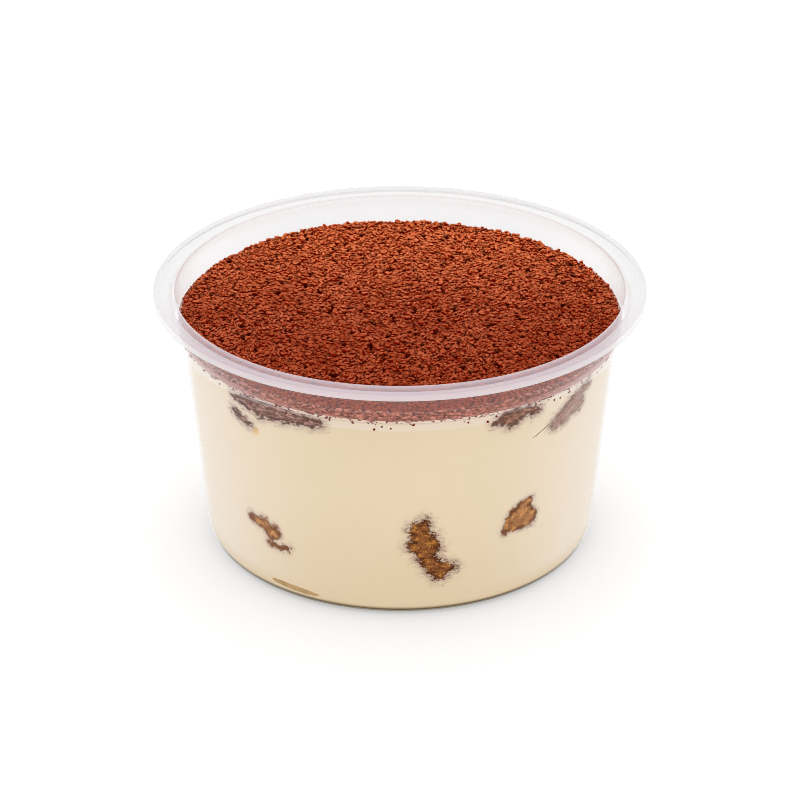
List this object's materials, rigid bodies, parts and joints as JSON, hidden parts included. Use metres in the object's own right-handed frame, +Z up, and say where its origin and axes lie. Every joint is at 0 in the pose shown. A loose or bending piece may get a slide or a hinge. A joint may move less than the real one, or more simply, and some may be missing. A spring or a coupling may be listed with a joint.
{
  "type": "tiramisu",
  "caption": "Tiramisu in a round clear plastic cup: pale cream with soaked sponge fingers showing at the wall, under a thin lighter cream and a bed of cocoa powder.",
  "frame": {"origin": "centre of the cup's base, on the surface it stands on", "axes": "+Z up through the open mouth, -Y towards the front, where the sponge shows best, +X to the right seen from the front"},
  "size_m": [0.117, 0.117, 0.0641],
  "materials": {
    "clear_plastic": "clear, faintly hazy polypropylene",
    "cream": "smooth pale mascarpone cream, soft sheen",
    "top_cream": "slightly whiter smooth cream",
    "sponge": "coffee-soaked sponge crumb, damp",
    "cocoa": "dry red-brown cocoa powder in small clumps"
  },
  "bodies": {
    "root": {"cup": "clear_plastic", "cream_base": "cream", "cream_top": "top_cream", "cocoa": "cocoa", "sponge_lower_left": "sponge", "sponge_lower_middle": "sponge", "sponge_lower_right": "sponge", "sponge_upper_left": "sponge", "sponge_upper_middle": "sponge", "sponge_upper_right": "sponge", "sponge_crumb": "sponge"}
  },
  "joints": []
}
